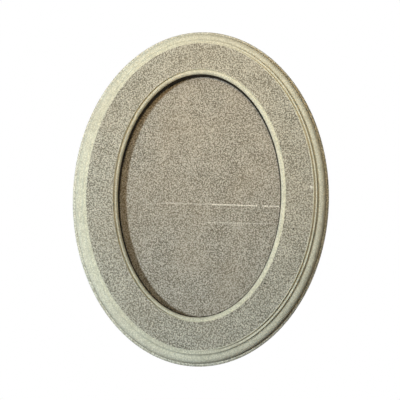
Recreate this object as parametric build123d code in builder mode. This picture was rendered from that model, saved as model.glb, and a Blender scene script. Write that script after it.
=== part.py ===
from build123d import *
import math
import os

# Oval picture frame, hung upright: the face looks along -Y and +Z is up.
# The origin is in the middle notch of the wall hanger, where the frame hooks on its nail.

# Oval outline and board
sight_width = 101.6
sight_height = 152.4
border_width = 30.45
board_thickness = 12.7
back_edge_round = 0.5

# Rim moulding, from the face outwards: step, ledge, cove, round, step and eased base
face_step = 1.6
ledge_width = 2.0
cove_radius = 2.0
round_radius = 4.0
base_step = 0.6
base_flat = 0.6
base_round = 1.6

# Bead round the sight opening, and the lip's edge, which leans in below it
bead_step = 1.4
bead_quirk = 0.4
bead_radius = 2.0
lip_lean = 0.25
lip_land = 1.0

# Rebate at the back, with the pane and the backing board in it
rebate_width = 6.4
pane_thickness = 2.0
pane_clearance = 0.8
pane_edge_bevel = 0.3
backing_thickness = 2.5
backing_clearance = 0.6
backing_inset = 0.3
backing_edge_bevel = 0.3

# Turn buttons, each a stamped plate with an eye at the screw and a turned-up tip
button_angle = 45.0
button_setback = 9.0
button_sheet = 1.2
button_eye_radius = 4.75
button_tip_radius = 3.5
button_reach = 16.0
button_tip_length = 4.0
button_tip_rise = 1.3
button_bend_radius = 0.6
button_play = 0.1

# Screws of the turn buttons
screw_radius = 1.4
screw_length = 9.5
screw_point_length = 2.2
screw_point_radius = 0.15
screw_head_radius = 2.8
screw_head_height = 1.9
screw_head_round = 1.0
recess_span = 2.9
recess_width = 0.7
recess_depth = 1.1
pivot_clearance = 0.08
pilot_clearance = 0.05
pilot_end_room = 0.5

# Sawtooth hanger, in the middle of the board's back at the top: a strip with a raised, notched bridge
hanger_tab = 6.7
hanger_width = 9.0
hanger_sheet = 0.8
hanger_corner_radius = 2.0
bridge_length = 27.0
bridge_rise = 1.6
bridge_ramp = 1.8
bridge_end_margin = 2.0
notch_pitch = 2.5
notch_depth = 2.0

# Nails of the hanger, one in the middle of each end tab
nail_radius = 0.7
nail_length = 8.0
nail_point_length = 1.8
nail_point_radius = 0.1
nail_head_radius = 1.8
nail_head_height = 0.8
nail_head_round = 0.5

# Overlap of cutting shapes past the faces that they cut
cut_margin = 2.0

# Sizes that follow from the ones above
sight_x = sight_width / 2
sight_z = sight_height / 2
rim_x = sight_x + border_width
rim_z = sight_z + border_width
rebate_x = sight_x + rebate_width
rebate_z = sight_z + rebate_width
rebate_depth = backing_inset + backing_thickness + pane_thickness
lip_depth = board_thickness - rebate_depth
moulding_width = ledge_width + cove_radius + round_radius + base_flat + base_round
button_height = button_play + button_sheet
screw_seat = button_height + button_play
screw_bite = screw_length - screw_seat
hanger_ramp_end = bridge_length / 2 + bridge_ramp
hanger_length = 2 * (hanger_ramp_end + hanger_tab)
notches_each_side = int((bridge_length / 2 - bridge_end_margin) / notch_pitch - 0.5)
notch_count = 2 * notches_each_side + 1
ramp_angle = math.atan2(bridge_rise, bridge_ramp)
ramp_shift = hanger_sheet * math.tan(ramp_angle / 2)
nail_x = hanger_ramp_end + hanger_tab / 2
nail_z = hanger_width / 2 - notch_depth
hook_rise = (rebate_z + rim_z) / 2 - nail_z
nail_bite = nail_length - hanger_sheet
back_y = -(bridge_rise + hanger_sheet / 2)
face_y = back_y - board_thickness

# Planes on the oval's centre, at the board's back and at its face, both looking out of the face
oval_centre = (0, back_y, -hook_rise)
face_centre = (0, face_y, -hook_rise)
from_back = Plane(origin=oval_centre, x_dir=(1, 0, 0), z_dir=(0, -1, 0))
on_face = Plane(origin=face_centre, x_dir=(1, 0, 0), z_dir=(0, -1, 0))


def button_plane(side, level):
    """Plane of one turn button on the board's back, with its x axis along the button."""
    angle = math.radians(button_angle)
    edge_x = rebate_x * math.cos(angle)
    edge_z = rebate_z * math.sin(angle)
    outward = Vector(side * edge_x / rebate_x**2, 0, level * edge_z / rebate_z**2).normalized()
    edge = Vector(side * edge_x, back_y, level * edge_z - hook_rise)
    return Plane(origin=edge + outward * button_setback, x_dir=-outward, z_dir=(0, 1, 0))


button_planes = {
    "turn_button_upper_left": button_plane(-1, 1),
    "turn_button_upper_right": button_plane(1, 1),
    "turn_button_lower_left": button_plane(-1, -1),
    "turn_button_lower_right": button_plane(1, -1),
}
screw_planes = list(button_planes.values())
nail_planes = [Plane(origin=(x, back_y, nail_z), z_dir=(0, 1, 0)) for x in (-nail_x, nail_x)]

os.makedirs("parts", exist_ok=True)


# Frame moulding: an oval ring with a routed rim, a beaded sight edge and a rebated back
with BuildPart() as frame_moulding:
    with BuildSketch(from_back):
        Ellipse(rim_x, rim_z)
        Ellipse(sight_x, sight_z, mode=Mode.SUBTRACT)
    extrude(amount=board_thickness)
    back_edges = frame_moulding.edges().group_by(Axis.Y)[-1]
    fillet(back_edges.sort_by(SortBy.LENGTH)[-1], back_edge_round)
    with BuildSketch(from_back):
        Ellipse(rebate_x, rebate_z)
    extrude(amount=rebate_depth, mode=Mode.SUBTRACT)

    # Holes that the screws and nails bite in
    with BuildSketch(*screw_planes):
        Circle(screw_radius + pilot_clearance)
    extrude(amount=-(screw_bite + pilot_end_room), mode=Mode.SUBTRACT)
    with BuildSketch(*nail_planes):
        Circle(nail_radius + pilot_clearance)
    extrude(amount=-(nail_bite + pilot_end_room), mode=Mode.SUBTRACT)

    # Waste of the rim moulding, drawn at the right of the oval: x outwards, y into the board
    with BuildLine(on_face, mode=Mode.PRIVATE) as rim_path:
        EllipticalCenterArc((0, 0), rim_x, rim_z, arc_size=360)
    rim_section = Plane(origin=(rim_x, face_y, -hook_rise), x_dir=(1, 0, 0), z_dir=(0, 0, 1))
    with BuildSketch(rim_section, mode=Mode.PRIVATE) as rim_waste:
        with BuildLine():
            ledge_x = -moulding_width + ledge_width
            middle_x = ledge_x + cove_radius
            middle_y = face_step + cove_radius
            round_x = middle_x + round_radius
            round_y = middle_y + round_radius
            base_y = round_y + base_step
            Polyline((-moulding_width, -cut_margin), (-moulding_width, face_step), (ledge_x, face_step))
            RadiusArc((ledge_x, face_step), (middle_x, middle_y), cove_radius)
            RadiusArc((middle_x, middle_y), (round_x, round_y), -round_radius)
            Polyline((round_x, round_y), (round_x, base_y), (-base_round, base_y))
            RadiusArc((-base_round, base_y), (0, base_y + base_round), -base_round)
            Polyline(
                (0, base_y + base_round),
                (cut_margin, base_y + base_round),
                (cut_margin, -cut_margin),
                (-moulding_width, -cut_margin),
            )
        make_face()
    sweep(rim_waste.sketch, path=rim_path.line, clean=False, mode=Mode.SUBTRACT)

    # Waste of the sight bead and of the lip's leaning edge, drawn at the right of the opening
    with BuildLine(on_face, mode=Mode.PRIVATE) as sight_path:
        EllipticalCenterArc((0, 0), sight_x, sight_z, arc_size=360)
    sight_section = Plane(origin=(sight_x, face_y, -hook_rise), x_dir=(1, 0, 0), z_dir=(0, 0, 1))
    with BuildSketch(sight_section, mode=Mode.PRIVATE) as bead_waste:
        with BuildLine():
            bead_x = lip_lean + bead_radius
            quirk_x = bead_x + bead_quirk
            bead_y = bead_step + bead_radius
            land_y = lip_depth - lip_land
            Polyline((quirk_x, -cut_margin), (quirk_x, bead_step), (bead_x, bead_step))
            RadiusArc((bead_x, bead_step), (lip_lean, bead_y), bead_radius)
            Polyline(
                (lip_lean, bead_y),
                (0, land_y),
                (-cut_margin, land_y),
                (-cut_margin, -cut_margin),
                (quirk_x, -cut_margin),
            )
        make_face()
    sweep(bead_waste.sketch, path=sight_path.line, clean=False, mode=Mode.SUBTRACT)
frame_moulding.part.label = "frame_moulding"
export_step(frame_moulding.part, "parts/frame_moulding.step")


# Clear pane, against the back of the lip
with BuildPart() as clear_pane:
    with BuildSketch(from_back.offset(rebate_depth - pane_thickness)):
        Ellipse(rebate_x - pane_clearance, rebate_z - pane_clearance)
    extrude(amount=pane_thickness)
    pane_edges = clear_pane.edges().group_by(Axis.Y)
    chamfer(pane_edges[0] + pane_edges[-1], pane_edge_bevel)
clear_pane.part.label = "clear_pane"
export_step(clear_pane.part, "parts/clear_pane.step")


# Backing board, against the pane
with BuildPart() as backing_panel:
    with BuildSketch(from_back.offset(backing_inset)):
        Ellipse(rebate_x - backing_clearance, rebate_z - backing_clearance)
    extrude(amount=backing_thickness)
    chamfer(backing_panel.edges().group_by(Axis.Y)[-1], backing_edge_bevel)
backing_panel.part.label = "backing_panel"
export_step(backing_panel.part, "parts/backing_panel.step")


# Turn buttons: an eye and a tapering arm, cut from sheet and bent up at the tip
for name, plane in button_planes.items():
    with BuildPart() as turn_button:
        with BuildSketch(plane):
            Circle(button_eye_radius)
            with Locations((button_reach - button_tip_radius, 0)):
                Circle(button_tip_radius)
            make_hull()
            Circle(screw_radius + pivot_clearance, mode=Mode.SUBTRACT)
        extrude(amount=button_height + button_tip_rise)
        side_plane = Plane(origin=plane.origin, x_dir=plane.x_dir, z_dir=-plane.y_dir)
        with BuildSketch(side_plane):
            with BuildLine():
                bend_x = button_reach - button_tip_length
                tip_y = button_play + button_tip_rise
                Polyline(
                    (-button_eye_radius, button_play),
                    (bend_x, button_play),
                    (button_reach, tip_y),
                    (button_reach, tip_y + button_sheet),
                    (bend_x, button_height),
                    (-button_eye_radius, button_height),
                    close=True,
                )
            make_face()
        extrude(amount=button_eye_radius, both=True, mode=Mode.INTERSECT)
        bend_edges = turn_button.edges().filter_by(Axis((0, 0, 0), plane.y_dir)).sort_by(Axis.Y)
        fillet(bend_edges[0], button_bend_radius + button_sheet)
        fillet(bend_edges[-1], button_bend_radius)
    turn_button.part.label = name
    export_step(turn_button.part, f"parts/{name}.step")


# Screws that the turn buttons turn on
with BuildPart() as turn_button_screws:
    with BuildSketch(*[plane.offset(screw_seat) for plane in screw_planes]):
        Circle(screw_head_radius)
    extrude(amount=screw_head_height)
    fillet(turn_button_screws.edges().group_by(Axis.Y)[-1], screw_head_round)
    with BuildSketch(*[plane.offset(screw_seat + screw_head_height) for plane in screw_planes]):
        Rectangle(recess_span, recess_width)
        Rectangle(recess_width, recess_span)
    extrude(amount=-recess_depth, mode=Mode.SUBTRACT)
    with BuildSketch(*[plane.offset(screw_seat) for plane in screw_planes]):
        Circle(screw_radius)
    extrude(amount=-(screw_length - screw_point_length))
    with Locations(*[plane.offset(-screw_bite) for plane in screw_planes]):
        Cone(
            screw_point_radius,
            screw_radius,
            screw_point_length,
            align=(Align.CENTER, Align.CENTER, Align.MIN),
        )
turn_button_screws.part.label = "turn_button_screws"
export_step(turn_button_screws.part, "parts/turn_button_screws.step")


# Sawtooth hanger: ends flat on the board, bridge raised off it, notches in the bridge's lower edge
with BuildPart() as sawtooth_hanger:
    with BuildSketch(Plane(origin=(0, back_y, -notch_depth))):
        with BuildLine():
            Polyline(
                (0, bridge_rise),
                (bridge_length / 2, bridge_rise),
                (hanger_ramp_end, 0),
                (hanger_length / 2, 0),
                (hanger_length / 2, hanger_sheet),
                (hanger_ramp_end + ramp_shift, hanger_sheet),
                (bridge_length / 2 + ramp_shift, bridge_rise + hanger_sheet),
                (0, bridge_rise + hanger_sheet),
                close=True,
            )
        make_face()
        mirror(about=Plane.YZ)
    extrude(amount=hanger_width)
    with BuildSketch(Plane(origin=(0, back_y, nail_z), x_dir=(-1, 0, 0), z_dir=(0, 1, 0))):
        RectangleRounded(hanger_length, hanger_width, hanger_corner_radius)
    extrude(amount=bridge_rise + hanger_sheet, mode=Mode.INTERSECT)
    with BuildSketch(Plane(origin=(0, back_y, 0), x_dir=(-1, 0, 0), z_dir=(0, 1, 0))):
        with GridLocations(notch_pitch, 0, notch_count, 1):
            Polygon((0, 0), (-notch_pitch / 2, -notch_depth), (notch_pitch / 2, -notch_depth), align=None)
    extrude(amount=bridge_rise + hanger_sheet, mode=Mode.SUBTRACT)
    with BuildSketch(*nail_planes):
        Circle(nail_radius + pilot_clearance)
    extrude(amount=hanger_sheet, mode=Mode.SUBTRACT)
sawtooth_hanger.part.label = "sawtooth_hanger"
export_step(sawtooth_hanger.part, "parts/sawtooth_hanger.step")


# Nails of the hanger
with BuildPart() as hanger_nails:
    with BuildSketch(*[plane.offset(hanger_sheet) for plane in nail_planes]):
        Circle(nail_head_radius)
    extrude(amount=nail_head_height)
    fillet(hanger_nails.edges().group_by(Axis.Y)[-1], nail_head_round)
    with BuildSketch(*[plane.offset(hanger_sheet) for plane in nail_planes]):
        Circle(nail_radius)
    extrude(amount=-(nail_length - nail_point_length))
    with Locations(*[plane.offset(-nail_bite) for plane in nail_planes]):
        Cone(
            nail_point_radius,
            nail_radius,
            nail_point_length,
            align=(Align.CENTER, Align.CENTER, Align.MIN),
        )
hanger_nails.part.label = "hanger_nails"
export_step(hanger_nails.part, "parts/hanger_nails.step")
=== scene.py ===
import math

import bmesh
import bpy
from mathutils import Matrix, Vector


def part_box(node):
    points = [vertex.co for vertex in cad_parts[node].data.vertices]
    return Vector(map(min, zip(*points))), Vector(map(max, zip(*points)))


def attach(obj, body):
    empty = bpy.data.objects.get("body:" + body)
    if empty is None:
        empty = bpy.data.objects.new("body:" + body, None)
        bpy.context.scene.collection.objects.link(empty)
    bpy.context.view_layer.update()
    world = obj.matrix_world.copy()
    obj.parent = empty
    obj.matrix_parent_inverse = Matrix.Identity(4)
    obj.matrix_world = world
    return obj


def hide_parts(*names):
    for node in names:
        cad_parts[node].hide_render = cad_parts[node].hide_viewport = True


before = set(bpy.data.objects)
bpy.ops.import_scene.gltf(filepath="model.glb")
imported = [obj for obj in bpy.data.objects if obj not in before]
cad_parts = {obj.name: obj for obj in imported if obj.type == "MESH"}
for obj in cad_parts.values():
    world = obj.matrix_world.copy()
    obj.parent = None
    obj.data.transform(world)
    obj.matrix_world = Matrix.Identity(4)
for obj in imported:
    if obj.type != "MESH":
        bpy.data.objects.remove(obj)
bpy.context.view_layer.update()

MM = 0.001

# The board's section, in millimetres: the same sizes as the solids
SIGHT = (50.8, 76.2)
REBATE_WIDTH = 6.4
REBATE_DEPTH = 4.8
FACE_STEP = 1.6
LEDGE_WIDTH = 2.0
COVE_RADIUS = 2.0
ROUND_RADIUS = 4.0
BASE_STEP = 0.6
BASE_FLAT = 0.6
BASE_ROUND = 1.6
BACK_EDGE_ROUND = 0.5
BEAD_STEP = 1.4
BEAD_QUIRK = 0.4
BEAD_RADIUS = 2.0
LIP_LEAN = 0.25
LIP_LAND = 1.0

# Worn and eased edges, in millimetres, which the solids leave sharp
ARRIS = 0.22
FACE_ARRIS = 0.3
SLAB_EASE = 0.3
METAL_EASE = 0.12

# Widths of the rubbed strip on the face's outer edge and of the painted shade in the foot's corner, in
# millimetres
RUBBED_EDGE = 0.45
SHADE_STRIP_WIDTH = 0.35

# Room in front of and behind the pane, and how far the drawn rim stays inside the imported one, in millimetres
SEAT_GAP = 0.06
WITHIN = 0.01

# Where the oval lies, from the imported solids
board_low, board_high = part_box("frame_moulding")
panel_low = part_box("backing_panel")[0]
RIM = ((board_high.x - board_low.x) / 2 / MM - WITHIN, (board_high.z - board_low.z) / 2 / MM - WITHIN)
THICKNESS = (board_high.y - board_low.y) / MM
REBATE = (SIGHT[0] + REBATE_WIDTH, SIGHT[1] + REBATE_WIDTH)
CENTRE = Vector((0, board_low.y, (board_low.z + board_high.z) / 2))
FACE_TO_PANEL = panel_low.y - board_low.y
PANEL_FRONT = FACE_TO_PANEL / MM

# Mesh density: steps round the oval and along each stretch of a section
STEPS_ROUND = 960
ARC_STEPS = 9
ARRIS_STEPS = 3
FLAT_STEPS = 8
METAL_EASE_STEPS = 2

# Angles over which faces meet in a crease and under which they are one flat, and a weld's reach in mm
BOARD_CREASE = math.radians(40)
METAL_CREASE = math.radians(35)
FLAT_ANGLE = math.radians(0.5)
WELD = 0.0001

# Levels of a noise texture that a ramp runs between: most of its range, or the middle
MOST = (0.3, 0.7)
MIDDLE = (0.35, 0.65)

# Specks in fibreboard: the rows of each size from the face to the backing board, how far from its middle
# a speck fades out and is full, in cells, and the levels of both sizes together that the shade runs between
SPECK_ROWS = (10, 13)
SPECK_RIM = 0.75
SPECK_CORE = 0.1
SPECK_LEVELS = (0.35, 1.35)

# Fibres, in metres and degrees, the noise levels that draw them, and their shade and rise
FIBRE_SIZE = (0.0016, 0.0004, 0.0004)
FIBRE_TURNS = (12, 74, 131)
FIBRE_LEVELS = (0.56, 0.72)
FIBRE_SHADE = (-0.05, 0.20)
FIBRE_RISE = 0.15

# Slow changes of shade and colour, and the rough surface: cells per metre, strengths and metres of relief
MOTTLE_SCALE = 120.0
MOTTLE_SHADE = 0.10
BLOOM_SCALE = 32.0
BLOOM = 0.16
ROUGH_SCALE = 3600.0
RELIEF = 0.0003
BOARD_ROUGHNESS = (0.82, 0.95)
BOARD_SPECULAR = 0.2

# Plated metal: cells per metre of its clouds and rolling marks, and how far the clouds change its roughness
CLOUD_SCALE = 260.0
CLOUD_ROUGHNESS = (-0.08, 0.12)
ROLLING_SCALE = 420.0
ROLLING_STRETCH = (1.0, 1.0, 0.07)
ROLLING_RELIEF = 0.0001
ROLLING_STRENGTH = 0.12

# Glazing: cells per metre of its smears, its roughness, and how much it gleams as the view gets low
SMEAR_SCALE = 45.0
GLAZING_ROUGHNESS = (0.02, 0.06)
GLEAM = 0.30
GLEAM_POWER = 5.0

# Marks of wear, in millimetres right of, above and behind the middle of the face
CHIP_ENDS = ((68.2, 4.6, 0), (70.9, 3.3, 0))
CHIP_HALF_WIDTH = 1.0
FACE_FLECKS = ((58.2, -21.7, 0), (41.1, -55.0, 0), (-53.2, -63.2, 0))
ROUND_FLECK = (-74.0, -33.1, 3.7)
FLECK_RADIUS = 0.6
FOOT_NICKS = ((-12.5, 103.7, 7.5), (9.9, -104.2, 7.5))
NICK_RADIUS = 1.0

# Where a round mark fades out and is full, in shares of its radius
MARK_EDGE = (1.2, 0.5)

# Scratches on the backing board, in millimetres right of and above its middle, each with its strength
PANEL_SCRATCHES = (
    ((-24.5, -5.7), (7.0, -6.2), 0.35),
    ((7.0, -6.2), (36.9, -6.7), 0.9),
    ((39.3, -6.8), (50.3, -6.9), 1.0),
    ((4.0, -17.8), (48.7, -18.0), 0.35),
)
PANEL_SCRATCH_HALF_WIDTH = 0.55

# A scratch's faded ends and solid middle, as shares of it, and the uneven breaks along it, in metres
SCRATCH_END = 0.02
SCRATCH_SOLID = 0.4
BREAK_SIZE = (0.0012, 1.0, 1.0)
BREAK_LEVELS = (0.36, 0.56)
BREAK_LEAST = 0.15

# Floor, in metres below the board's lowest edge, and the light that it gives back and gives off
FLOOR_DROP = 0.25
FLOOR_RADIUS = 0.75
FLOOR_STEPS = 96
FLOOR_SCALE = 9.0
FLOOR_SHADES = ((0.84, 0.84, 0.84, 1), (0.88, 0.88, 0.88, 1))
FLOOR_ROUGHNESS = 0.9
FLOOR_BOUNCE = (0.12, 0.12, 0.12, 1)
FLOOR_GLOW = 0.45
WHITE = (1, 1, 1, 1)
UNLIT = (0, 0, 0, 1)

# Camera: its distance and angles from the oval's centre, in metres and radians
CAMERA_DISTANCE = 0.400
CAMERA_PITCH = math.radians(-7.3)
CAMERA_YAW = math.radians(3.41)
CAMERA_ROLL = math.radians(1.11)
CAMERA_CLIP = 0.01

# The oval's centre in pixels right of and below the picture's middle, the picture's size and the lens
CENTRE_PIXEL = (-1.32, -7.52)
PICTURE_PIXELS = 400
FOCAL_PIXELS = 646.4
SENSOR_MM = 36.0


# Materials


class Nodes:
    """A material's node tree, with short calls to add and join nodes."""

    def __init__(self, name):
        self.material = bpy.data.materials.new(name)
        self.material.use_nodes = True
        self.tree = self.material.node_tree
        self.shader = self.tree.nodes["Principled BSDF"]
        self.output = self.tree.nodes["Material Output"]

    def add(self, kind, inputs=None, **settings):
        node = self.tree.nodes.new(kind)
        for key, value in settings.items():
            setattr(node, key, value)
        for key, value in (inputs or {}).items():
            self.put(node.inputs[key], value)
        return node

    def put(self, socket, value):
        """Joins another node's output to a socket, or sets the socket to a constant."""
        if isinstance(value, bpy.types.NodeSocket):
            self.tree.links.new(value, socket)
        else:
            socket.default_value = value

    def place(self):
        """The surface point, in metres."""
        return self.add("ShaderNodeTexCoord").outputs["Object"]

    def math(self, operation, *values, clamp=False):
        node = self.add("ShaderNodeMath", operation=operation, use_clamp=clamp)
        for socket, value in zip(node.inputs, values):
            self.put(socket, value)
        return node.outputs[0]

    def vector_math(self, operation, a, b):
        node = self.add("ShaderNodeVectorMath", operation=operation)
        self.put(node.inputs[0], a)
        self.put(node.inputs[1], b)
        return node

    def noise(self, vector, scale, detail=2.0):
        inputs = {"Vector": vector, "Scale": scale, "Detail": detail}
        return self.add("ShaderNodeTexNoise", inputs).outputs["Fac"]

    def ramp(self, value, low, high, to_low=0.0, to_high=1.0):
        inputs = {"Value": value, "From Min": low, "From Max": high, "To Min": to_low, "To Max": to_high}
        return self.add("ShaderNodeMapRange", inputs).outputs[0]

    def stretched(self, vector, size, turn=0.0):
        """The vector in cells of the given size, turned in the board's plane."""
        mapping = self.add("ShaderNodeMapping", {"Vector": vector}, vector_type="TEXTURE")
        mapping.inputs["Rotation"].default_value = (0, math.radians(turn), 0)
        mapping.inputs["Scale"].default_value = size
        return mapping.outputs[0]

    def mix(self, factor, a, b):
        node = self.add("ShaderNodeMix", data_type="RGBA")
        self.put(node.inputs["Factor"], factor)
        self.put(node.inputs["A"], a)
        self.put(node.inputs["B"], b)
        return node.outputs["Result"]

    def bump(self, height, distance, strength=1.0):
        inputs = {"Height": height, "Strength": strength, "Distance": distance}
        return self.add("ShaderNodeBump", inputs).outputs[0]

    def finish(self, **values):
        """The material, with the shader's sockets set by name."""
        for key, value in values.items():
            self.put(self.shader.inputs[key.replace("_", " ")], value)
        return self.material


def srgb(red, green, blue):
    """Linear colour, with alpha, of an 8-bit screen colour."""
    levels = []
    for value in (red, green, blue):
        level = value / 255
        levels.append(level / 12.92 if level <= 0.04045 else ((level + 0.055) / 1.055) ** 2.4)
    return (*levels, 1.0)


BRUISE = srgb(34, 29, 24)
ROSY = srgb(186, 168, 140)
CHIP = srgb(252, 247, 230)


def on_oval(x, z, depth):
    """A point in metres from its millimetres right of, above and behind the middle of the face."""
    return CENTRE + MM * Vector((x, depth, z))


def spot(nodes, place, colour, centre, radius, paint):
    """A small mark of another colour, soft at its edge."""
    away = nodes.vector_math("DISTANCE", place, centre).outputs["Value"]
    outside, inside = (share * radius for share in MARK_EDGE)
    return nodes.mix(nodes.ramp(away, outside, inside), colour, paint)


def scratch(nodes, place, colour, start, end, half_width, strength):
    """A straight, broken, pale scratch that runs mostly across the board."""
    split = nodes.add("ShaderNodeSeparateXYZ", {"Vector": place})
    x, y, z = (split.outputs[axis] for axis in "XYZ")
    along = nodes.ramp(x, start.x, end.x)
    height = nodes.ramp(x, start.x, end.x, start.z, end.z)
    across = nodes.math("ABSOLUTE", nodes.math("SUBTRACT", z, height))
    first_end = nodes.ramp(along, 0.0, SCRATCH_END)
    last_end = nodes.ramp(along, 1.0, 1.0 - SCRATCH_END)
    uneven = nodes.noise(nodes.stretched(place, BREAK_SIZE), 1.0)
    breaks = nodes.ramp(uneven, *BREAK_LEVELS, BREAK_LEAST, 1.0)
    on_top = nodes.ramp(y, start.y + 2 * half_width, start.y + half_width, 0.0, strength)
    factor = nodes.ramp(across, half_width, SCRATCH_SOLID * half_width)
    for share in (first_end, last_end, breaks, on_top):
        factor = nodes.math("MULTIPLY", factor, share)
    return nodes.mix(factor, colour, CHIP)


def specks(nodes, place, rows):
    """Pale specks, in rows of cells that the face and the backing board's front cut through the middle."""
    scale = rows / FACE_TO_PANEL
    first_row = (0, board_low.y - 0.5 / scale, 0)
    from_face = nodes.vector_math("SUBTRACT", place, first_row).outputs[0]
    cells = nodes.add("ShaderNodeTexVoronoi", {"Vector": from_face, "Scale": scale})
    return nodes.ramp(cells.outputs["Distance"], SPECK_RIM, SPECK_CORE)


def fibres(nodes, place):
    """Pale strands that lie in several directions."""
    strongest = 0.0
    for turn in FIBRE_TURNS:
        strands = nodes.noise(nodes.stretched(place, FIBRE_SIZE, turn), 1.0, detail=0.0)
        strongest = nodes.math("MAXIMUM", strongest, nodes.ramp(strands, *FIBRE_LEVELS))
    return strongest


def fibreboard(name, dark, light, contrast=1.0, relief=1.0, bloom=BLOOM, marks=None):
    """Raw fibreboard: pale specks and fibres on a dark ground, slow mottling and a rough surface."""
    nodes = Nodes(name)
    place = nodes.place()
    speck = nodes.math("ADD", *(specks(nodes, place, rows) for rows in SPECK_ROWS))
    fibre = fibres(nodes, place)
    mottle = nodes.noise(place, MOTTLE_SCALE, detail=3.0)
    shade = nodes.ramp(speck, *SPECK_LEVELS, 0.5 - 0.5 * contrast, 0.5 + 0.5 * contrast)
    fibre_shade = nodes.ramp(fibre, 0.0, 1.0, *(contrast * level for level in FIBRE_SHADE))
    shade = nodes.math("ADD", shade, fibre_shade)
    mottle_shade = nodes.ramp(mottle, *MOST, -MOTTLE_SHADE, MOTTLE_SHADE)
    shade = nodes.math("ADD", shade, mottle_shade, clamp=True)
    rosy = nodes.ramp(nodes.noise(place, BLOOM_SCALE), *MIDDLE, 0.0, bloom)
    colour = nodes.mix(rosy, nodes.mix(shade, dark, light), ROSY)
    if marks:
        colour = marks(nodes, place, colour)
    rough = nodes.noise(place, ROUGH_SCALE, detail=1.0)
    height = nodes.math("ADD", rough, nodes.math("MULTIPLY", fibre, FIBRE_RISE))
    return nodes.finish(
        Base_Color=colour,
        Roughness=nodes.ramp(mottle, *MOST, *BOARD_ROUGHNESS),
        Normal=nodes.bump(height, relief * RELIEF),
        Specular_IOR_Level=BOARD_SPECULAR,
    )


def face_marks(nodes, place, colour):
    """A pale chip and dark flecks of bark on the face."""
    start, end = (on_oval(*point) for point in CHIP_ENDS)
    colour = scratch(nodes, place, colour, start, end, CHIP_HALF_WIDTH * MM, 1.0)
    for point in FACE_FLECKS:
        colour = spot(nodes, place, colour, on_oval(*point), FLECK_RADIUS * MM, BRUISE)
    return colour


def edge_marks(nodes, place, colour):
    """Pale nicks in the rim's foot and a dark fleck on its round."""
    for point in FOOT_NICKS:
        colour = spot(nodes, place, colour, on_oval(*point), NICK_RADIUS * MM, CHIP)
    return spot(nodes, place, colour, on_oval(*ROUND_FLECK), FLECK_RADIUS * MM, BRUISE)


def panel_marks(nodes, place, colour):
    """Two long scratches across the backing board, one of them in three strokes."""
    for start, end, strength in PANEL_SCRATCHES:
        ends = (on_oval(*start, PANEL_FRONT), on_oval(*end, PANEL_FRONT))
        colour = scratch(nodes, place, colour, *ends, PANEL_SCRATCH_HALF_WIDTH * MM, strength)
    return colour


def metal(name, colour, tint, roughness):
    """Plated sheet metal: faint rolling marks, cloudy shine and slight colour bloom."""
    nodes = Nodes(name)
    place = nodes.place()
    cloud = nodes.noise(place, CLOUD_SCALE, detail=4.0)
    rolling = nodes.noise(nodes.stretched(place, ROLLING_STRETCH), ROLLING_SCALE)
    return nodes.finish(
        Base_Color=nodes.mix(nodes.ramp(cloud, *MIDDLE), colour, tint),
        Metallic=1.0,
        Roughness=nodes.ramp(cloud, *MOST, *(roughness + change for change in CLOUD_ROUGHNESS)),
        Normal=nodes.bump(rolling, ROLLING_RELIEF, ROLLING_STRENGTH),
    )


def clear_sheet(name):
    """Clear, non-reflecting picture glazing: lamps pass through, and it gleams only at a low angle."""
    nodes = Nodes(name)
    smear = nodes.noise(nodes.place(), SMEAR_SCALE, detail=4.0)
    roughness = nodes.ramp(smear, *MOST, *GLAZING_ROUGHNESS)
    gloss = nodes.add("ShaderNodeBsdfGlossy", {"Roughness": roughness})
    through = nodes.add("ShaderNodeBsdfTransparent")
    facing = nodes.add("ShaderNodeLayerWeight", {"Blend": 0.5}).outputs["Facing"]
    gleam = nodes.ramp(nodes.math("POWER", facing, GLEAM_POWER), 0.0, 1.0, 0.0, GLEAM)
    mix = nodes.add("ShaderNodeMixShader")
    for socket, value in zip(mix.inputs, (gleam, through.outputs[0], gloss.outputs[0])):
        nodes.put(socket, value)
    nodes.put(nodes.output.inputs["Surface"], mix.outputs[0])
    nodes.tree.nodes.remove(nodes.shader)
    return nodes.material


SKIN = fibreboard("board_skin", srgb(122, 117, 100), srgb(226, 221, 200), marks=face_marks)
ROUTED = fibreboard(
    "board_routed", srgb(187, 184, 158), srgb(250, 247, 221), contrast=0.55, relief=0.4, marks=edge_marks
)
# Painted shade: a darker board colour in the corner of the foot's step, where shade falls
FOOT_STEP_SHADE = fibreboard("board_foot_step_painted_shade", srgb(84, 77, 58), srgb(150, 142, 116), contrast=0.8, relief=0.4, bloom=0.0)
FOOT = fibreboard(
    "board_foot", srgb(182, 178, 154), srgb(254, 251, 228), contrast=0.9, relief=0.6, marks=edge_marks
)
# Painted shade: a near-black board colour on the lip's wall and the rebate, standing for the shade in the gap
# round the opening
SAWN_SHADE = fibreboard("board_sawn_painted_shade", srgb(34, 29, 22), srgb(56, 48, 37), contrast=0.7, bloom=0.0)
PANEL = fibreboard("board_backing", srgb(118, 112, 95), srgb(213, 207, 190), marks=panel_marks)
PLATE = metal("zinc_plate", srgb(158, 160, 163), srgb(128, 132, 138), roughness=0.44)
SCREW = metal("zinc_screw", srgb(166, 160, 142), srgb(132, 127, 112), roughness=0.32)
NAIL = metal("bright_nail", srgb(132, 132, 134), srgb(104, 104, 107), roughness=0.36)
CLEAR = clear_sheet("clear_sheet")


# Shapes: rings round the oval, joined into closed meshes


def new_object(name, data):
    """An object with the given data, linked into the scene."""
    made = bpy.data.objects.new(name, data)
    bpy.context.scene.collection.objects.link(made)
    return made


def smooth(mesh, crease):
    """Shades a mesh smoothly, apart from the edges where faces meet at more than an angle."""
    mesh.polygons.foreach_set("use_smooth", [True] * len(mesh.polygons))
    mesh.set_sharp_from_angle(angle=crease)


def flatten_shading(piece):
    """Lets the large flat faces of a smooth piece set its normals."""
    piece.modifiers.new("flat_faces", "WEIGHTED_NORMAL").keep_sharp = True


def arc(centre, radius, start, end, steps):
    """Points of an arc in the section, from one angle to another in degrees."""
    points = []
    for step in range(steps + 1):
        angle = math.radians(start + (end - start) * step / steps)
        points.append((centre[0] + radius * math.cos(angle), centre[1] + radius * math.sin(angle)))
    return points


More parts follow.
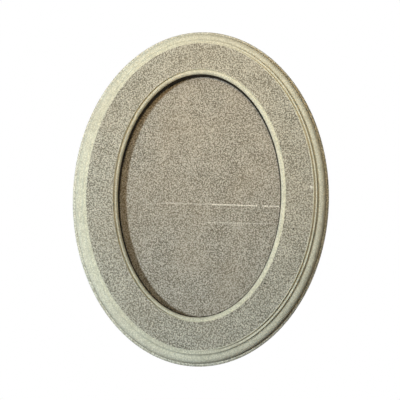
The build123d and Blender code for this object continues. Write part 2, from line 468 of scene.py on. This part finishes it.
def ring(semi, offset, depth):
    """Points round an ellipse, moved out along its normals, at a depth below the face."""
    points = []
    for step in range(STEPS_ROUND):
        angle = 2 * math.pi * step / STEPS_ROUND
        x, z = semi[0] * math.cos(angle), semi[1] * math.sin(angle)
        normal = Vector((x / semi[0] ** 2, 0, z / semi[1] ** 2)).normalized()
        points.append(CENTRE + MM * (Vector((x, depth, z)) + normal * offset))
    return points


def between(first, last):
    """Rings between two rings, evenly spaced over a flat."""
    shares = [step / FLAT_STEPS for step in range(1, FLAT_STEPS)]
    return [[a.lerp(b, share) for a, b in zip(first, last)] for share in shares]


def ring_mesh(name, rings, closed, materials, zones=None):
    """A smooth object through rings, closed on itself or by a flat cap at each end.

    A zone is the place, in the list of materials, of the one on the surface from a ring to the next.
    """
    count = len(rings)
    faces, slots = [], []
    for row in range(count if closed else count - 1):
        near, far = row * STEPS_ROUND, (row + 1) % count * STEPS_ROUND
        for step in range(STEPS_ROUND):
            following = (step + 1) % STEPS_ROUND
            faces.append((near + step, far + step, far + following, near + following))
            slots.append(zones[row] if zones else 0)
    if not closed:
        last = (count - 1) * STEPS_ROUND
        faces.append(tuple(range(STEPS_ROUND)))
        faces.append(tuple(range(last + STEPS_ROUND - 1, last - 1, -1)))
        slots += [0, 0]
    mesh = bpy.data.meshes.new(name)
    mesh.from_pydata([point for points in rings for point in points], [], faces)
    for material in materials:
        mesh.materials.append(material)
    mesh.polygons.foreach_set("material_index", slots)
    smooth(mesh, BOARD_CREASE)
    piece = new_object(name, mesh)
    flatten_shading(piece)
    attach(piece, "frame")
    return piece


# The board: a ring with a routed rim, a beaded sight edge and a rebated back


def rim_section():
    """Section of the routed rim, as offsets from the rim's ellipse and depths below the face.

    It comes in three stretches: the moulding down to its foot, the foot's corner, painted with shade, and the
    board's edge.
    """
    width = LEDGE_WIDTH + COVE_RADIUS + ROUND_RADIUS + BASE_FLAT + BASE_ROUND
    ledge = -width + LEDGE_WIDTH
    middle = ledge + COVE_RADIUS
    round_end = middle + ROUND_RADIUS
    base = FACE_STEP + COVE_RADIUS + ROUND_RADIUS + BASE_STEP
    cove_start = 180 - math.degrees(math.asin(ARRIS / COVE_RADIUS))
    moulding = [(-width - FACE_ARRIS - RUBBED_EDGE, 0)]
    moulding += arc((-width - FACE_ARRIS, FACE_ARRIS), FACE_ARRIS, -90, 0, ARRIS_STEPS)
    moulding.append((-width, FACE_STEP))
    moulding += arc((ledge - ARRIS, FACE_STEP + ARRIS), ARRIS, -90, 0, ARRIS_STEPS)
    moulding += arc((middle, FACE_STEP), COVE_RADIUS, cove_start, 90, ARC_STEPS)
    moulding += arc((middle, base - BASE_STEP), ROUND_RADIUS, -90, 0, ARC_STEPS)[1:-1]
    # The corner at the foot's step, which gets painted shade
    shaded_step = [(round_end, base - BASE_STEP), (round_end, base)]
    edge = [(round_end + SHADE_STRIP_WIDTH, base)]
    edge += arc((-BASE_ROUND, base + BASE_ROUND), BASE_ROUND, -90, 0, ARC_STEPS)
    edge += arc((-BACK_EDGE_ROUND, THICKNESS - BACK_EDGE_ROUND), BACK_EDGE_ROUND, 0, 90, ARRIS_STEPS)
    return moulding, shaded_step, edge


def sight_section():
    """Section of the bead round the opening, from the lip's back to the face."""
    lip = THICKNESS - REBATE_DEPTH
    bead = LIP_LEAN + BEAD_RADIUS
    quirk = bead + BEAD_QUIRK
    points = [(0, lip), (0, lip - LIP_LAND)]
    points += arc((bead, BEAD_STEP + BEAD_RADIUS), BEAD_RADIUS, 180, 270, ARC_STEPS)
    points.append((quirk, BEAD_STEP))
    points += arc((quirk + ARRIS, ARRIS), ARRIS, 180, 270, ARRIS_STEPS)
    return points


def build_board():
    """The whole board as one closed ring, from the lip over the face and round the rim to the rebate."""
    bead = [ring(SIGHT, *point) for point in sight_section()]
    moulding, shaded_step, edge = [[ring(RIM, *point) for point in stretch] for stretch in rim_section()]
    rebate = [ring(REBATE, 0, THICKNESS), ring(REBATE, 0, THICKNESS - REBATE_DEPTH)]
    # Each ring goes with the material of the surface that runs from it to the next ring
    stretches = (
        # The lip's wall, and the rebate at the end, get the near-black painted shade
        (bead[:2], SAWN_SHADE),
        (bead[2:-1], ROUTED),
        (bead[-1:] + between(bead[-1], moulding[0]), SKIN),
        (moulding, ROUTED),
        # The corner at the foot's step gets painted shade
        (shaded_step, FOOT_STEP_SHADE),
        (edge[:-1], FOOT),
        (edge[-1:] + between(edge[-1], rebate[0]), SKIN),
        (rebate, SAWN_SHADE),
    )
    materials = (SKIN, ROUTED, SAWN_SHADE, FOOT_STEP_SHADE, FOOT)
    rings = [points for stretch, _ in stretches for points in stretch]
    zones = [materials.index(material) for stretch, material in stretches for _ in stretch]
    board = ring_mesh("oval_board", rings, True, materials, zones)
    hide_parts("frame_moulding")


def build_slab(name, node, material, room=0.0):
    """A flat oval sheet with eased edges, in the place of a packed one, with room in front and behind."""
    low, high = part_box(node)
    semi = ((high.x - low.x) / 2 / MM, (high.z - low.z) / 2 / MM)
    front = (low.y - board_low.y) / MM + room
    back = (high.y - board_low.y) / MM - room
    section = ((-SLAB_EASE, front), (0, front + SLAB_EASE), (0, back - SLAB_EASE), (-SLAB_EASE, back))
    slab = ring_mesh(name, [ring(semi, *point) for point in section], False, (material,))
    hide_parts(node)


build_board()
build_slab("glazing", "clear_pane", CLEAR, SEAT_GAP)
build_slab("backing_board", "backing_panel", PANEL)


# Fittings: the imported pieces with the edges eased, as stamping and plating leave them


def ease_edges(node, body, material):
    """A packed metal piece with eased edges, in its place and on its body."""
    shape = bmesh.new()
    shape.from_mesh(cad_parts[node].data)
    bmesh.ops.remove_doubles(shape, verts=shape.verts, dist=WELD * MM)
    bmesh.ops.dissolve_limit(shape, angle_limit=FLAT_ANGLE, verts=shape.verts, edges=shape.edges)
    name = "eased_" + node
    mesh = bpy.data.meshes.new(name)
    shape.to_mesh(mesh)
    shape.free()
    mesh.materials.append(material)
    smooth(mesh, METAL_CREASE)
    piece = new_object(name, mesh)
    bevel = piece.modifiers.new("eased_edges", "BEVEL")
    bevel.width = METAL_EASE * MM
    bevel.segments = METAL_EASE_STEPS
    bevel.limit_method = "ANGLE"
    bevel.angle_limit = METAL_CREASE
    flatten_shading(piece)
    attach(piece, body)
    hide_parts(node)


ease_edges("turn_button_screws", "frame", SCREW)
ease_edges("sawtooth_hanger", "frame", PLATE)
ease_edges("hanger_nails", "frame", NAIL)
for corner in ("upper_left", "upper_right", "lower_left", "lower_right"):
    ease_edges("turn_button_" + corner, "turn_button_" + corner, PLATE)


# Studio: a pale floor below the hanging frame, a white surround and soft lamps


def seen_ray(tree):
    """1 for a ray that the camera sees, also in gloss or glass, and 0 for one that only lights things."""
    path = tree.nodes.new("ShaderNodeLightPath")
    seen = path.outputs["Is Camera Ray"]
    for kind in ("Is Glossy Ray", "Is Transmission Ray"):
        either = tree.nodes.new("ShaderNodeMath")
        either.operation = "MAXIMUM"
        tree.links.new(seen, either.inputs[0])
        tree.links.new(path.outputs[kind], either.inputs[1])
        seen = either.outputs[0]
    return seen


def build_floor():
    """A round pale floor, which glows a little where it is seen and lights the frame only faintly."""
    nodes = Nodes("studio_floor")
    pale = nodes.mix(nodes.noise(nodes.place(), FLOOR_SCALE), *FLOOR_SHADES)
    seen = seen_ray(nodes.tree)
    material = nodes.finish(
        Base_Color=nodes.mix(seen, FLOOR_BOUNCE, pale),
        Roughness=FLOOR_ROUGHNESS,
        Emission_Color=WHITE,
        Emission_Strength=nodes.math("MULTIPLY", seen, FLOOR_GLOW),
    )
    level = board_low.z - FLOOR_DROP
    circle = []
    for step in range(FLOOR_STEPS):
        angle = 2 * math.pi * step / FLOOR_STEPS
        circle.append((FLOOR_RADIUS * math.cos(angle), FLOOR_RADIUS * math.sin(angle), level))
    mesh = bpy.data.meshes.new("studio_floor")
    mesh.from_pydata(circle, [], [tuple(range(FLOOR_STEPS))])
    mesh.materials.append(material)
    new_object("studio_floor", mesh)


def build_world():
    """A surround that is seen as white and lights nothing."""
    world = bpy.data.worlds.new("studio")
    world.use_nodes = True
    tree = world.node_tree
    colour = tree.nodes.new("ShaderNodeMix")
    colour.data_type = "RGBA"
    tree.links.new(seen_ray(tree), colour.inputs["Factor"])
    colour.inputs["A"].default_value = UNLIT
    colour.inputs["B"].default_value = WHITE
    tree.links.new(colour.outputs["Result"], tree.nodes["Background"].inputs["Color"])
    bpy.context.scene.world = world


def hang_lamp(light, offset, aim, power, colour):
    """Places a lamp at an offset from the oval's centre, facing a point near it, both in metres."""
    light.energy = power
    light.color = colour
    lamp = new_object(light.name, light)
    lamp.location = CENTRE + Vector(offset)
    lamp.rotation_euler = (Vector(aim) - Vector(offset)).to_track_quat("-Z", "Y").to_euler()


def add_lamp(name, offset, size, power, colour):
    """A round soft lamp that faces the oval's centre."""
    light = bpy.data.lights.new(name, "AREA")
    light.shape = "DISK"
    light.size = size
    hang_lamp(light, offset, (0, 0, 0), power, colour)


def add_spot(name, offset, aim, half_angle, size, power, colour):
    """A lamp with a narrow beam, in degrees, that fades out from its middle to its edge."""
    light = bpy.data.lights.new(name, "SPOT")
    light.spot_size = 2 * math.radians(half_angle)
    light.spot_blend = 1.0
    light.shadow_soft_size = size
    hang_lamp(light, offset, aim, power, colour)


def build_camera():
    """Camera at the photograph's view of the oval."""
    from_centre = Vector((
        math.sin(CAMERA_YAW) * math.cos(CAMERA_PITCH),
        -math.cos(CAMERA_YAW) * math.cos(CAMERA_PITCH),
        math.sin(CAMERA_PITCH),
    ))
    place = CENTRE + from_centre * CAMERA_DISTANCE
    level_right = Vector((0, 0, 1)).cross(from_centre).normalized()
    level_up = from_centre.cross(level_right)
    rolled_right = level_right * math.cos(CAMERA_ROLL) + level_up * math.sin(CAMERA_ROLL)
    rolled_up = level_up * math.cos(CAMERA_ROLL) - level_right * math.sin(CAMERA_ROLL)
    per_pixel = CAMERA_DISTANCE / FOCAL_PIXELS
    aim = CENTRE - rolled_right * CENTRE_PIXEL[0] * per_pixel + rolled_up * CENTRE_PIXEL[1] * per_pixel
    back = (place - aim).normalized()
    right = rolled_up.cross(back).normalized()
    up = back.cross(right)
    data = bpy.data.cameras.new("view")
    data.sensor_width = SENSOR_MM
    data.lens = FOCAL_PIXELS / PICTURE_PIXELS * SENSOR_MM
    data.clip_start = CAMERA_CLIP
    camera = new_object("view", data)
    turn = Matrix((right, up, back)).transposed().to_4x4()
    camera.matrix_world = Matrix.Translation(place) @ turn
    bpy.context.scene.camera = camera


build_floor()
build_world()
add_lamp("key_left", (-0.605, -0.88, -0.04), size=0.12, power=9.1, colour=(0.79, 0.89, 1.0))
add_lamp("fill_top", (0.0, -0.75, 0.47), size=0.2, power=1.15, colour=(0.94, 1.0, 0.95))
add_spot(
    "fill_front", (0.0, -0.9, 0.1), aim=(0.008, 0, 0.06), half_angle=9.4,
    size=0.1, power=16.6, colour=(1.0, 0.72, 0.42),
)
add_lamp("back_left", (-0.6, 0.85, 0.35), size=1.0, power=5.5, colour=(1.0, 0.98, 0.95))
add_lamp("back_right", (0.6, 0.85, 0.1), size=1.0, power=4.5, colour=(1.0, 0.98, 0.95))
build_camera()
bpy.context.scene.view_settings.view_transform = "Standard"
